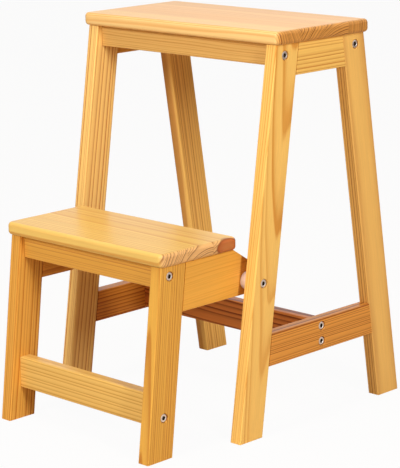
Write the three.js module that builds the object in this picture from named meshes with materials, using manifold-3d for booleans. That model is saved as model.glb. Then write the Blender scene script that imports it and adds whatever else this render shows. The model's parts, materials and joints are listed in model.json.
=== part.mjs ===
// A folding step stool in lacquered pine: a tall stool whose lower step swings up on two pivot bolts
// and comes to rest inside the frame. Millimetres, X to the right, Y to the back, Z up from the floor,
// with the origin on the floor under the middle of the open stool.

import * as THREE from "three";
import { mergeVertices } from "three/addons/utils/BufferGeometryUtils.js";
import Module from "manifold-3d";

const wasm = await Module();
wasm.setup();

// Side frames: two leaning legs with a board between them at the top and one near the floor
const seatHeight = 498.5;
const frameWidth = 330;
const legWidth = 40.5;
const footReach = 152.5; // from the middle of the frame to the outer edge of a foot
const legTopReach = 80.7; // the same, under the seat
const sideApronHeight = 40;
const sideStretcherHeight = 41;
const sideStretcherBottom = 87.5;

// Planed boards for the legs and everything between them
const boardThickness = 17;
const easedEdge = 1.6;
const jointGap = 0.2; // the glue line or the hairline seam between two boards

// Seat: a glued board with rounded edges
const seatThickness = 16.5;
const seatSideOverhang = 7.1; // past the legs
const seatEndOverhang = 3.9;
const seatCornerRadius = 8;
const seatEdgeRadius = 5;

// Boards that join the two side frames. A setback is from the outer edge of a leg.
const apronHeight = 27;
const apronSetback = 17.8;
const crossRailHeight = 38;
const crossRailRise = 2; // above the bottom of the side stretchers

// Step frame, which stands inside the main one
const treadHeight = 253;
const stepSideGap = 13.5; // between a leg of the frame and the step
const stepLegWidth = 41.5;
const stepFootRun = 173; // from the pivot to the front edge of the step's feet
const stepLegLean = 28.8; // how far back the step's legs lean over their height
const stepRailHeight = 60;
const stepApronHeight = 28.5;
const stepApronSetback = 16.3;
const stepStretcherHeight = 40;
const stepStretcherBottom = 41;
const stepStretcherSetback = 22.6;

// Step board, the tread
const treadThickness = 16.5;
const treadDepth = 129.4;
const treadSideOverhang = 5.7;
const treadFrontOverhang = 3.9;
const treadCornerRadius = 8;
const treadEdgeRadius = 5;

// Pivot, and the tail of the step's rail behind it
const pivotSetback = 17;
const pivotRise = 18; // above the bottom of the step's rail
const railTailLength = 21.5;
const railTailHeight = 32;
const railSlopeStart = 21.3; // the slope of the tail starts this far in front of the pivot
const railTailRound = 6;
const spacerDiameter = 22.5;
const spacerRound = 1.5;
const pivotPlay = 0.3;

// Socket bolts and the barrel nuts that they pull
const boltDiameter = 6;
const boltHeadDiameter = 10;
const boltHeadHeight = 5.6;
const boltHeadRound = 0.8;
const boltPointChamfer = 0.8;
const boltSocketAcross = 5;
const boltSocketDepth = 3.2;
const boltRecessDepth = 6.6;
const boltRecessPlay = 0.9;
const boltPlay = 0.35;
const threadPlay = 0.2; // threads are drawn plain, so a nut's hole clears its bolt by this much
const boltLength = 45;
const barrelNutDiameter = 10;
const barrelNutLength = 13;
const barrelNutInset = 26; // from the end of a board to the middle of its barrel nut
const barrelNutPlay = 0.25;
const barrelNutSlotWidth = 1.4;
const barrelNutSlotDepth = 1.2;
const apronBoltDrop = 14; // below the underside of the seat
const crossRailBoltRise = 9.5; // above the bottom of the cross rail
const crossRailBoltSpacing = 20;
const stepApronBoltDrop = 13;
const stepStretcherBoltRise = 11.5;

// Pivot nuts and washers
const nutAcross = 10;
const nutThickness = 5;
const washerDiameter = 14;
const washerThickness = 1.6;
const washerRound = 0.3;
const boltEndShown = 2.2; // of a pivot bolt past its nut

// Wood screws that hold the seat and the tread from below
const screwDiameter = 4;
const screwHeadDiameter = 8;
const screwHeadHeight = 2.4;
const screwLength = 31;
const screwPointLength = 5;
const screwGrip = 11; // how far a screw enters the seat or the tread
const screwPlay = 0.3;
const screwRecessPlay = 0.6;
const seatScrewInset = 58; // from the end of an apron
const treadScrewInset = 62.5;
const railScrewSetback = 24.8; // from the tread's rear edge

// Glued dowels between a side board and its legs
const dowelDiameter = 8;
const dowelDepth = 14;
const dowelPlay = 0.2;
const sideApronDowelRise = 11;
const sideStretcherDowelRise = 11;
const sideStretcherDowelSpacing = 19;
const stepRailDowelRise = 14;
const stepRailDowelSpacing = 18;

// Cutters run past what they cut by this much
const overrun = 4;

// Facets
const cornerSteps = 3;
const edgeSteps = 3;
const easedSteps = 2;
const holeSides = 10;
const recessSides = 20;
const turnedSides = 14;

const pineColor = 0xe9ad55;
const steelColor = 0xc9c6c4;
const spacerColor = 0xf0d9cd;

const pine = () => new THREE.MeshStandardMaterial({ color: pineColor, roughness: 0.38, metalness: 0 });
const steel = () => new THREE.MeshStandardMaterial({ color: steelColor, roughness: 0.25, metalness: 1 });
const nylon = () => new THREE.MeshStandardMaterial({ color: spacerColor, roughness: 0.5, metalness: 0 });

// Heights

const seatUnderside = seatHeight - seatThickness;
const legTop = seatUnderside - jointGap;
const sideApronBottom = seatUnderside - sideApronHeight;
const sideStretcherTop = sideStretcherBottom + sideStretcherHeight;
const apronBottom = seatUnderside - apronHeight;
const crossRailBottom = sideStretcherBottom + crossRailRise;
const treadUnderside = treadHeight - treadThickness;
const stepTop = treadUnderside - jointGap;
const stepRailBottom = treadUnderside - stepRailHeight;
const stepApronBottom = treadUnderside - stepApronHeight;
const pivotHeight = stepRailBottom + pivotRise;

const pair = (first, spacing) => [first, first + spacing];

const apronBolt = seatUnderside - apronBoltDrop;
const crossRailBolts = pair(crossRailBottom + crossRailBoltRise, crossRailBoltSpacing);
const stepApronBolt = treadUnderside - stepApronBoltDrop;
const stepStretcherBolt = stepStretcherBottom + stepStretcherBoltRise;
const sideApronDowels = [sideApronBottom + sideApronDowelRise];
const sideStretcherDowels = pair(sideStretcherBottom + sideStretcherDowelRise, sideStretcherDowelSpacing);
const stepRailDowels = pair(stepRailBottom + stepRailDowelRise, stepRailDowelSpacing);

// Reaches: how far to the front, or to the back, of the middle of the frame a thing is at its height

const legReach = (z) => footReach - (footReach - legTopReach) * z / seatUnderside;
const legInside = (z) => legReach(z) - legWidth;
const pivotReach = legReach(pivotHeight) - pivotSetback;
const stepFootReach = pivotReach + stepFootRun;
const stepLegReach = (z) => stepFootReach - stepLegLean * z / treadUnderside;
const stepLegBack = (z) => stepLegReach(z) - stepLegWidth;
const apronReach = legReach(apronBolt) - apronSetback;
const stepApronReach = stepLegReach(stepApronBolt) - stepApronSetback;
const stepStretcherReach = stepLegReach(stepStretcherBolt) - stepStretcherSetback;
const treadReach = stepLegReach(treadUnderside) + treadFrontOverhang;
const treadMiddle = treadDepth / 2 - treadReach;
const railScrewReach = treadReach - treadDepth + railScrewSetback;
const middleToOrigin = (stepFootReach - footReach) / 2;

// Faces of the boards to the right of the middle

const outerFace = frameWidth / 2;
const innerFace = outerFace - boardThickness;
const stepOuterFace = innerFace - stepSideGap;
const stepInnerFace = stepOuterFace - boardThickness;
const stepSideMiddle = (stepOuterFace + stepInnerFace) / 2;
const seatScrewSide = innerFace - seatScrewInset;
const treadScrewSide = stepInnerFace - treadScrewInset;

const seatWidth = 2 * (outerFace + seatSideOverhang);
const seatDepth = 2 * (legTopReach + seatEndOverhang);
const treadWidth = 2 * (stepOuterFace + treadSideOverhang);
const beyond = 2 * (seatHeight + stepFootReach);

const sides = [["right", 1], ["left", -1]];
const ends = [["front", -1], ["rear", 1]];
const bothSides = [1, -1];

// Solids for joining and cutting

function solid(geometry) {
  const bare = geometry.clone();
  bare.deleteAttribute("normal");
  bare.deleteAttribute("uv");
  const merged = mergeVertices(bare);
  const corners = merged.index.array;
  const faces = [];
  for (let i = 0; i < corners.length; i += 3) {
    const [a, b, c] = corners.slice(i, i + 3);
    if (a !== b && b !== c && c !== a) faces.push(a, b, c);
  }
  return new wasm.Manifold(new wasm.Mesh({
    numProp: 3,
    vertProperties: new Float32Array(merged.attributes.position.array),
    triVerts: new Uint32Array(faces),
  }));
}

function surface(body) {
  const mesh = body.getMesh();
  const geometry = new THREE.BufferGeometry();
  geometry.setAttribute("position", new THREE.BufferAttribute(mesh.vertProperties, 3));
  geometry.setIndex(new THREE.BufferAttribute(mesh.triVerts, 1));
  geometry.computeVertexNormals();
  return geometry;
}

function place(group, name, body, material, x = 0, y = 0, z = 0) {
  const mesh = new THREE.Mesh(surface(body), material);
  mesh.name = name;
  mesh.position.set(x, y, z);
  group.add(mesh);
  return mesh;
}

function drill(body, holes) {
  return holes.reduce((left, hole) => left.subtract(hole), body);
}

// Shapes in the side view, with Y to the right and Z up, pushed out along X and centred on X = 0

const sideView = new THREE.Matrix4().makeBasis(
  new THREE.Vector3(0, 1, 0), new THREE.Vector3(0, 0, 1), new THREE.Vector3(1, 0, 0));

function outline(points) {
  return new THREE.Shape(points.map(([y, z]) => new THREE.Vector2(y, z)));
}

function acrossFrame(shape, width, ease = 0) {
  const geometry = new THREE.ExtrudeGeometry(shape, {
    depth: width - 2 * ease,
    bevelEnabled: ease > 0,
    bevelThickness: ease,
    bevelSize: ease,
    bevelOffset: -ease,
    bevelSegments: easedSteps,
    curveSegments: easedSteps,
  });
  geometry.translate(0, 0, ease - width / 2);
  return solid(geometry.applyMatrix4(sideView));
}

function slab(low, high) {
  const box = new THREE.BoxGeometry(beyond, beyond, high - low);
  return solid(box.translate(0, 0, (low + high) / 2));
}

// A rectangle with round corners, centred on a point
function roundedRectangle(width, depth, radius, x = 0, y = 0) {
  const shape = new THREE.Shape();
  const right = x + width / 2, left = x - width / 2, top = y + depth / 2, bottom = y - depth / 2;
  shape.moveTo(left + radius, bottom);
  shape.lineTo(right - radius, bottom);
  shape.absarc(right - radius, bottom + radius, radius, -Math.PI / 2, 0);
  shape.lineTo(right, top - radius);
  shape.absarc(right - radius, top - radius, radius, 0, Math.PI / 2);
  shape.lineTo(left + radius, top);
  shape.absarc(left + radius, top - radius, radius, Math.PI / 2, Math.PI);
  shape.lineTo(left, bottom + radius);
  shape.absarc(left + radius, bottom + radius, radius, Math.PI, Math.PI * 3 / 2);
  return shape;
}

// A round rod along one axis, with its middle at a point
function rod(axis, diameter, length, x, y, z, sides = holeSides) {
  const geometry = new THREE.CylinderGeometry(diameter / 2, diameter / 2, length, sides);
  if (axis === "x") geometry.rotateZ(-Math.PI / 2);
  if (axis === "z") geometry.rotateX(Math.PI / 2);
  return solid(geometry.translate(x, y, z));
}

// Holes

// In a board centred on X = 0: clearance for the shank, and in the outer face a recess for the head
function boltHole(side, y, z) {
  const shank = rod("x", boltDiameter + boltPlay * 2, boardThickness + overrun * 2, 0, y, z);
  const recess = rod("x", boltHeadDiameter + boltRecessPlay * 2, boltRecessDepth * 2,
    side * boardThickness / 2, y, z, recessSides);
  return shank.add(recess);
}

// In the end of a board across the stool: the bolt comes in along X and the barrel nut from one face
function endHoles(side, halfLength, opens, z) {
  const depth = boltLength - (boardThickness - boltRecessDepth) + overrun;
  const bolt = rod("x", boltDiameter + boltPlay * 2, depth * 2, side * halfLength, 0, z);
  const nutDepth = (boardThickness + barrelNutLength) / 2 + barrelNutPlay;
  const nut = rod("y", barrelNutDiameter + barrelNutPlay * 2, nutDepth * 2,
    side * (halfLength - barrelNutInset), opens * boardThickness / 2, z);
  return [bolt, nut];
}

// Up through a board under the seat or the tread: the shank's hole, and the recess of the head
function screwHole(x, y, boardBottom, entry) {
  const bearing = entry + screwGrip - screwLength;
  const shank = rod("z", screwDiameter + screwPlay * 2, (screwLength + overrun) * 2, x, y, bearing);
  const low = boardBottom - overrun;
  const recess = rod("z", screwHeadDiameter + screwRecessPlay * 2, bearing - low, x, y, (bearing + low) / 2);
  return shank.add(recess);
}

// Blind, in the underside of a board whose top is at Z = 0
function screwPilot(x, y, thickness) {
  return rod("z", screwDiameter + screwPlay * 2, (screwGrip + screwPlay) * 2, x, y, -thickness);
}

// Along Y into a leaning edge, one for each height
function dowelRods(edge, end, heights, diameter, depth) {
  return heights.map((z) => rod("y", diameter, depth * 2, 0, end * edge(z), z));
}

const dowelHoles = (edge, end, heights) =>
  dowelRods(edge, end, heights, dowelDiameter + dowelPlay * 2, dowelDepth + dowelPlay);
const dowelPins = (edge, end, heights) => dowelRods(edge, end, heights, dowelDiameter, dowelDepth);

// Boards of the side frames

// A bar that leans, cut flat at the floor and under the seat or the tread
function leaningBar(end, reach, width, top) {
  const low = -overrun, high = top + overrun;
  const bar = acrossFrame(outline([
    [end * reach(low), low], [end * reach(high), high],
    [end * (reach(high) - width), high], [end * (reach(low) - width), low],
  ]), boardThickness, easedEdge);
  return bar.intersect(slab(0, top));
}

function frameLeg(side, end) {
  const holes = [
    boltHole(side, end * apronReach, apronBolt),
    ...dowelHoles(legInside, end, [...sideApronDowels, ...sideStretcherDowels]),
  ];
  if (end < 0) holes.push(boltHole(side, -pivotReach, pivotHeight));
  return drill(leaningBar(end, legReach, legWidth, legTop), holes);
}

// Between the front and the rear leg, cut to their lean, with the dowels that are glued into its ends
function sideBoard(bottom, top, dowelHeights) {
  const half = (z) => legInside(z) - jointGap;
  const low = bottom - overrun, high = top + overrun;
  const plank = acrossFrame(outline([
    [-half(low), bottom], [half(low), bottom], [half(low), top], [-half(low), top],
  ]), boardThickness, easedEdge);
  const room = acrossFrame(outline([
    [-half(low), low], [half(low), low], [half(high), high], [-half(high), high],
  ]), boardThickness + overrun);
  const pins = ends.flatMap(([, end]) => dowelPins(legInside, end, dowelHeights));
  return pins.reduce((body, pin) => body.add(pin), plank.intersect(room));
}

function sideStretcher(side) {
  const board = sideBoard(sideStretcherBottom, sideStretcherTop, sideStretcherDowels);
  return drill(board, crossRailBolts.map((z) => boltHole(side, 0, z)));
}

// Boards across the stool, centred on Y = 0, with barrel nuts that go in from the front or the back
function crossBoard(halfLength, bottom, height, opens, boltHeights) {
  const section = roundedRectangle(boardThickness, height, easedEdge, 0, bottom + height / 2);
  const board = acrossFrame(section, 2 * (halfLength - jointGap));
  return drill(board, boltHeights.flatMap((z) =>
    bothSides.flatMap((side) => endHoles(side, halfLength, opens, z))));
}

function apron(halfLength, bottom, top, opens, boltHeight, screwSide) {
  const board = crossBoard(halfLength, bottom, top - jointGap - bottom, opens, [boltHeight]);
  return drill(board, bothSides.map((side) => screwHole(side * screwSide, 0, bottom, top)));
}

// Boards of the step

function stepLeg(side) {
  return drill(leaningBar(-1, stepLegReach, stepLegWidth, stepTop), [
    boltHole(side, -stepApronReach, stepApronBolt),
    boltHole(side, -stepStretcherReach, stepStretcherBolt),
    ...dowelHoles(stepLegBack, -1, stepRailDowels),
  ]);
}

// The rail runs back from the leg to the pivot, and its tail slopes down behind the tread
function stepRailShape() {
  const front = -stepFootReach, tail = railTailLength - pivotReach;
  const shape = new THREE.Shape();
  shape.moveTo(front, stepRailBottom);
  shape.lineTo(tail - railTailRound, stepRailBottom);
  shape.absarc(tail - railTailRound, stepRailBottom + railTailRound, railTailRound, -Math.PI / 2, 0);
  shape.lineTo(tail, stepRailBottom + railTailHeight);
  shape.lineTo(-pivotReach - railSlopeStart, stepTop);
  shape.lineTo(front, stepTop);
  return shape;
}

function stepRail() {
  const low = stepRailBottom - overrun, high = treadUnderside + overrun;
  const back = (z) => jointGap - stepLegBack(z);
  const legSide = acrossFrame(outline([
    [-beyond, low], [back(low), low], [back(high), high], [-beyond, high],
  ]), boardThickness + overrun);
  const board = drill(acrossFrame(stepRailShape(), boardThickness, easedEdge), [
    legSide,
    rod("x", boltDiameter + pivotPlay * 2, boardThickness + overrun, 0, -pivotReach, pivotHeight),
    screwHole(0, -railScrewReach, stepRailBottom, treadUnderside),
  ]);
  return dowelPins(stepLegBack, -1, stepRailDowels).reduce((body, pin) => body.add(pin), board);
}

// Seat and tread, with their tops at Z = 0

function roundedBoard(width, depth, thickness, cornerRadius, edgeRadius) {
  const geometry = new THREE.ExtrudeGeometry(roundedRectangle(width, depth, cornerRadius), {
    depth: thickness - 2 * edgeRadius,
    bevelThickness: edgeRadius,
    bevelSize: edgeRadius,
    bevelOffset: -edgeRadius,
    bevelSegments: edgeSteps,
    curveSegments: cornerSteps,
  });
  return solid(geometry.translate(0, 0, edgeRadius - thickness));
}

const seatScrews = bothSides.flatMap((side) =>
  ends.map(([, end]) => [side * seatScrewSide, end * apronReach]));
const treadScrews = bothSides.flatMap((side) => [
  [side * treadScrewSide, -stepApronReach],
  [side * stepSideMiddle, -railScrewReach],
]);

// Fasteners, each drawn along Y with its head up

function turned(points) {
  const profile = points.map(([radius, height]) => new THREE.Vector2(radius, height));
  return solid(new THREE.LatheGeometry(profile, turnedSides));
}

function hexagon(across, height, y) {
  const radius = across / Math.sqrt(3);
  return solid(new THREE.CylinderGeometry(radius, radius, height, 6).translate(0, y, 0));
}

function socketBolt(length) {
  const shank = boltDiameter / 2, head = boltHeadDiameter / 2;
  const blank = turned([
    [0, -length],
    [shank - boltPointChamfer, -length],
    [shank, boltPointChamfer - length],
    [shank, 0],
    [head, 0],
    [head, boltHeadHeight - boltHeadRound],
    [head - boltHeadRound, boltHeadHeight],
    [0, boltHeadHeight],
  ]);
  return blank.subtract(hexagon(boltSocketAcross, boltSocketDepth * 2, boltHeadHeight));
}

function barrelNut() {
  const body = rod("y", barrelNutDiameter, barrelNutLength, 0, 0, 0);
  const thread = rod("x", boltDiameter + threadPlay * 2, barrelNutDiameter + overrun, 0, 0, 0);
  const slot = new THREE.BoxGeometry(barrelNutDiameter + overrun, barrelNutSlotDepth * 2, barrelNutSlotWidth);
  return drill(body, [thread, solid(slot.translate(0, barrelNutLength / 2, 0))]);
}

function woodScrew() {
  const shank = screwDiameter / 2, head = screwHeadDiameter / 2;
  return turned([
    [0, -screwLength],
    [shank, screwPointLength - screwLength],
    [shank, 0],
    [head, 0],
    [head, screwHeadHeight / 2],
    [head / 2, screwHeadHeight],
    [0, screwHeadHeight],
  ]);
}

function ring(outer, inner, thickness, round) {
  const edge = outer / 2, bore = inner / 2, half = thickness / 2;
  return turned([
    [bore, -half], [edge - round, -half], [edge, round - half],
    [edge, half - round], [edge - round, half], [bore, half], [bore, -half],
  ]);
}

function hexNut() {
  return hexagon(nutAcross, nutThickness, 0)
    .subtract(rod("y", boltDiameter + threadPlay * 2, nutThickness + overrun, 0, 0, 0));
}

// Putting pieces in place

function placeSideways(group, name, body, material, side, x, y, z) {
  place(group, name, body, material, side * x, y, z).rotation.z = -side * Math.PI / 2;
}

// On each side a bolt goes in from the outer face and pulls a barrel nut
function boltAcross(group, name, outer, opens, y, z) {
  for (const [hand, side] of sides) {
    placeSideways(group, `${name}_bolt_${hand}`, socketBolt(boltLength), steel(),
      side, outer - boltRecessDepth, y, z);
    const nut = place(group, `${name}_barrel_nut_${hand}`, barrelNut(), steel(),
      side * (outer - boardThickness - barrelNutInset), y, z);
    if (opens < 0) nut.rotation.x = Math.PI;
  }
}

function screwUp(group, name, x, y, entry) {
  place(group, name, woodScrew(), steel(), x, y, entry + screwGrip - screwLength).rotation.x = -Math.PI / 2;
}

function addFrameBoards(frame) {
  for (const [hand, side] of sides) {
    const x = side * (outerFace - boardThickness / 2);
    for (const [where, end] of ends) place(frame, `${where}_leg_${hand}`, frameLeg(side, end), pine(), x);
    place(frame, `side_apron_${hand}`, sideBoard(sideApronBottom, legTop, sideApronDowels), pine(), x);
    place(frame, `side_stretcher_${hand}`, sideStretcher(side), pine(), x);
  }
  for (const [where, end] of ends) {
    const body = apron(innerFace, apronBottom, seatUnderside, -end, apronBolt, seatScrewSide);
    place(frame, `${where}_apron`, body, pine(), 0, end * apronReach);
    boltAcross(frame, `${where}_apron`, outerFace, -end, end * apronReach, apronBolt);
  }
}

function addCrossRail(frame) {
  const rail = crossBoard(innerFace, crossRailBottom, crossRailHeight, 1, crossRailBolts);
  place(frame, "cross_rail", rail, pine());
  const [lower, upper] = crossRailBolts;
  boltAcross(frame, "cross_rail_lower", outerFace, 1, 0, lower);
  boltAcross(frame, "cross_rail_upper", outerFace, 1, 0, upper);
}

function addSeat(frame) {
  const board = roundedBoard(seatWidth, seatDepth, seatThickness, seatCornerRadius, seatEdgeRadius);
  const pilots = seatScrews.map(([x, y]) => screwPilot(x, y, seatThickness));
  place(frame, "seat_board", drill(board, pilots), pine(), 0, 0, seatHeight);
  for (const [hand, side] of sides) {
    const x = side * seatScrewSide;
    for (const [where, end] of ends) {
      screwUp(frame, `seat_screw_${where}_${hand}`, x, end * apronReach, seatUnderside);
    }
  }
}

// The pivot on each side: a bolt through the leg, a spacer that keeps the step off the leg, and on the
// inner face of the step's rail a washer and a nut. It all stays with the frame.
function addPivots(frame) {
  const spacerLength = innerFace - stepOuterFace - pivotPlay;
  const washerFace = stepInnerFace - pivotPlay;
  const nutFace = washerFace - washerThickness;
  const boltEnd = nutFace - nutThickness - boltEndShown;
  for (const [hand, side] of sides) {
    const put = (name, body, material, x) =>
      placeSideways(frame, `pivot_${name}_${hand}`, body, material, side, x, -pivotReach, pivotHeight);
    put("bolt", socketBolt(outerFace - boltRecessDepth - boltEnd), steel(), outerFace - boltRecessDepth);
    put("spacer", ring(spacerDiameter, boltDiameter + boltPlay * 2, spacerLength, spacerRound), nylon(),
      innerFace - spacerLength / 2);
    put("washer", ring(washerDiameter, boltDiameter + boltPlay * 2, washerThickness, washerRound), steel(),
      washerFace - washerThickness / 2);
    put("nut", hexNut(), steel(), nutFace - nutThickness / 2);
  }
}

function addStep(step) {
  for (const [hand, side] of sides) {
    place(step, `step_leg_${hand}`, stepLeg(side), pine(), side * stepSideMiddle);
    place(step, `step_rail_${hand}`, stepRail(), pine(), side * stepSideMiddle);
  }
  const front = apron(stepInnerFace, stepApronBottom, treadUnderside, 1, stepApronBolt, treadScrewSide);
  place(step, "step_apron", front, pine(), 0, -stepApronReach);
  const low = crossBoard(stepInnerFace, stepStretcherBottom, stepStretcherHeight, 1, [stepStretcherBolt]);
  place(step, "step_stretcher", low, pine(), 0, -stepStretcherReach);
  boltAcross(step, "step_apron", stepOuterFace, 1, -stepApronReach, stepApronBolt);
  boltAcross(step, "step_stretcher", stepOuterFace, 1, -stepStretcherReach, stepStretcherBolt);
}

function addTread(step) {
  const board = roundedBoard(treadWidth, treadDepth, treadThickness, treadCornerRadius, treadEdgeRadius);
  const pilots = treadScrews.map(([x, y]) => screwPilot(x, y - treadMiddle, treadThickness));
  place(step, "tread_board", drill(board, pilots), pine(), 0, treadMiddle, treadHeight);
  for (const [hand, side] of sides) {
    screwUp(step, `tread_screw_front_${hand}`, side * treadScrewSide, -stepApronReach, treadUnderside);
    screwUp(step, `tread_screw_rear_${hand}`, side * stepSideMiddle, -railScrewReach, treadUnderside);
  }
}

const frame = new THREE.Group();
addFrameBoards(frame);
addCrossRail(frame);
addSeat(frame);
addPivots(frame);

const step = new THREE.Group();
addStep(step);
addTread(step);

const stool = new THREE.Group();
frame.position.y = middleToOrigin;
step.position.y = middleToOrigin;
stool.add(frame, step);

export default stool;
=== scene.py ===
# %% [markdown]
# # A folding step stool in lacquered pine
#
# The stool has a tall seat on four leaning legs, and a lower step that swings up on two pivot bolts.
# Every board here is planed pine with its edges eased, under a clear satin lacquer. The construction
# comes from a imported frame, in metres, with Z up. This script gives every piece its real surface:
# boards with round edges and drilled holes, bright fasteners, and wood whose growth rings run
# through the board, so that they meet at its edges as they do in real timber.

# %% Load the frame
import json
import math

import bmesh
import bpy
from mathutils import Euler, Matrix, Vector


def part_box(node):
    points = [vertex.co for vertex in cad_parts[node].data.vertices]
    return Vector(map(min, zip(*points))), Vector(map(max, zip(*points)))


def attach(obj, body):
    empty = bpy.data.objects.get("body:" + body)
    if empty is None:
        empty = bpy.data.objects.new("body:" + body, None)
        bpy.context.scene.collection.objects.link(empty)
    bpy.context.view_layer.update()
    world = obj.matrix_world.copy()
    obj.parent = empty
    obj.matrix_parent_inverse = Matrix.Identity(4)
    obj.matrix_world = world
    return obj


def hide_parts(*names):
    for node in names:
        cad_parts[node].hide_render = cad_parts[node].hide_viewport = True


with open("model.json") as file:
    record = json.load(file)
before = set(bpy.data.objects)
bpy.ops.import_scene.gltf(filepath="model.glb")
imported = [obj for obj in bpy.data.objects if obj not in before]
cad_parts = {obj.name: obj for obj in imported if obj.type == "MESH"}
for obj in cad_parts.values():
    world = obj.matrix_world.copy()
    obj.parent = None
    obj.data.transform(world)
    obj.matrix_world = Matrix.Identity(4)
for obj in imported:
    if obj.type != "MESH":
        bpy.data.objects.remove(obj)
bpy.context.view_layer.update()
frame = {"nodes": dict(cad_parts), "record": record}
BODIES = frame["record"]["behaviour"]["bodies"]
BODY_OF = {node: body for body, nodes in BODIES.items() for node in nodes}

# %% [markdown]
# ## Camera
#
# The photograph is taken from the right of the step and a little above, with a long lens, so that the
# verticals hardly converge. A camera looks along its own -Z, so it is turned up by 90 degrees less the
# angle that it looks down, and then round by its yaw. The small roll is the photographer's.

# %% Camera
MM = 0.001
IMAGE_LONG_SIDE = 468
SENSOR = 36.0
CAMERA_PLACE = Vector((1717.4, -1723.1, 790.7)) * MM
CAMERA_YAW = 44.66
CAMERA_DIP = 13.12
CAMERA_ROLL = 1.01
CAMERA_REACH = 50
FOCAL_PIXELS = 1949.0

bpy.ops.object.select_all(action="DESELECT")
bpy.ops.object.camera_add(location=CAMERA_PLACE)
camera = bpy.context.object
camera.name = "photographers_camera"
camera.data.sensor_width = SENSOR
camera.data.lens = FOCAL_PIXELS / IMAGE_LONG_SIDE * SENSOR
camera.data.clip_end = CAMERA_REACH
yaw = Euler((0, 0, math.radians(CAMERA_YAW))).to_matrix()
dip = Euler((math.radians(90 - CAMERA_DIP), 0, 0)).to_matrix()
roll = Euler((0, 0, math.radians(-CAMERA_ROLL))).to_matrix()
camera.rotation_euler = (yaw @ dip @ roll).to_euler()
bpy.context.scene.camera = camera
print("lens:", round(camera.data.lens, 1), "mm")

# %% [markdown]
# ## Colours and nodes
#
# A colour is given as a hex value, as on a screen, but a shader works in linear light. One
# function turns the first into the second. Another adds a node to a material: its settings are set,
# and each input gets either a value or a link. A node given as an input stands for its first output,
# and a kind of node is written without the ShaderNode that starts its name in Blender.

# %% Helpers for colours and nodes
def linear(hex_value):
    """An sRGB hex value as a linear colour with alpha."""
    channels = [int(hex_value[i:i + 2], 16) / 255 for i in (1, 3, 5)]
    return [c / 12.92 if c <= 0.04045 else ((c + 0.055) / 1.055) ** 2.4 for c in channels] + [1.0]


def add_node(tree, kind, inputs=None, **settings):
    """Adds a node. An input given as a node or a socket is linked, and any other is set."""
    node = tree.nodes.new("ShaderNode" + kind)
    for name, value in settings.items():
        setattr(node, name, value)
    for key, value in (inputs or {}).items():
        source = value.outputs[0] if isinstance(value, bpy.types.Node) else value
        if isinstance(source, bpy.types.NodeSocket):
            tree.links.new(source, node.inputs[key])
        else:
            node.inputs[key].default_value = source
    return node


def new_material(name):
    """An empty node material, and its tree."""
    material = bpy.data.materials.new(name)
    material.use_nodes = True
    material.node_tree.nodes.clear()
    return material, material.node_tree


# %% [markdown]
# ## How pine gets its rings
#
# A tree grows a ring each year: wide pale earlywood, then a thin band of dark latewood that ends
# abruptly. A board is a straight cut through those rings. So the figure is made as a solid: the
# distance of a point from the pith, the tree's middle, is divided by the width of a ring, and what is
# left over after the whole rings is the place within a ring. Slow noise bends the rings, and the
# same solid then shows lines on one face, flames on the next and arcs on the end. All of it works in
# millimetres, with Z along the grain.

# %% Rings, with their sizes in mm
ALONG_GRAIN = (1, 1, 0.1)
BEND_SIZE = 38
GOOD_YEARS = 0.35
DARK_BEFORE = (0.12, 0.12, 0.12, 1)


def add_rings(tree, given):
    """Nodes for the slowed space along the grain, and for how much latewood a point has."""
    # The rings bend slowly, and ten times more slowly along the grain than across it
    slow = add_node(tree, "VectorMath", {0: given["Point"], 1: ALONG_GRAIN}, operation="MULTIPLY")
    bend = add_node(tree, "TexNoise", {"Vector": slow, "W": given["Seed"], "Scale": 1 / BEND_SIZE,
                    "Detail": 2.0}, noise_dimensions="4D")
    centred = add_node(tree, "VectorMath", {0: bend.outputs["Color"], 1: (0.5, 0.5, 0.5)},
                       operation="SUBTRACT")
    moved = add_node(tree, "VectorMath", {0: centred, "Scale": given["Wander"]}, operation="SCALE")
    bent = add_node(tree, "VectorMath", {0: given["Point"], 1: moved}, operation="ADD")
    flat = add_node(tree, "VectorMath", {0: bent, 1: (1, 1, 0)}, operation="MULTIPLY")
    radius = add_node(tree, "VectorMath", {0: flat}, operation="LENGTH")

    # Good and bad years: the width of the rings varies over a few rings
    rings = add_node(tree, "Math", {0: radius.outputs["Value"], 1: given["Ring"]}, operation="DIVIDE")
    year = add_node(tree, "Math", {0: rings, 1: given["Seed"]}, operation="ADD")
    weather = add_node(tree, "TexNoise", {"W": year, "Scale": GOOD_YEARS, "Detail": 1.0},
                       noise_dimensions="1D")
    count = add_node(tree, "Math", {0: weather, 1: 2.0, 2: rings}, operation="MULTIPLY_ADD")

    # Each ring draws how dark its latewood is, and a ramp gives the slow rise and the abrupt end
    whole = add_node(tree, "Math", {0: count}, operation="FLOOR")
    part = add_node(tree, "Math", {0: count}, operation="FRACT")
    luck = add_node(tree, "Math", {0: whole, 1: given["Seed"]}, operation="ADD")
    dice = add_node(tree, "TexWhiteNoise", {"W": luck}, noise_dimensions="1D")
    weight = add_node(tree, "MapRange", {"Value": dice, "To Min": 0.5, "To Max": 1.0})
    band = add_node(tree, "ValToRGB", {"Fac": part})
    stops = band.color_ramp.elements
    stops[0].position, stops[0].color = 0.0, DARK_BEFORE
    stops[1].position, stops[1].color = 1.0, DARK_BEFORE
    for place, dark in ((0.07, 0.0), (0.42, 0.1), (0.68, 0.45), (0.82, 0.95), (0.93, 1.0)):
        stops.new(place).color = (dark, dark, dark, 1)
    late = add_node(tree, "Math", {0: band, 1: weight}, operation="MULTIPLY")
    return slow, late


# %% [markdown]
# ## Fibres and the whole figure
#
# Fibres are streaks about a millimetre wide and fifty times as long. The lacquer soaks in unevenly,
# which leaves cloudy patches of a few centimetres. Both only make the wood lighter or darker. The whole
# is a node group, so that every board uses the same figure with its own numbers. It gives a height as
# well, because hard latewood stands a little proud after sanding.

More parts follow.
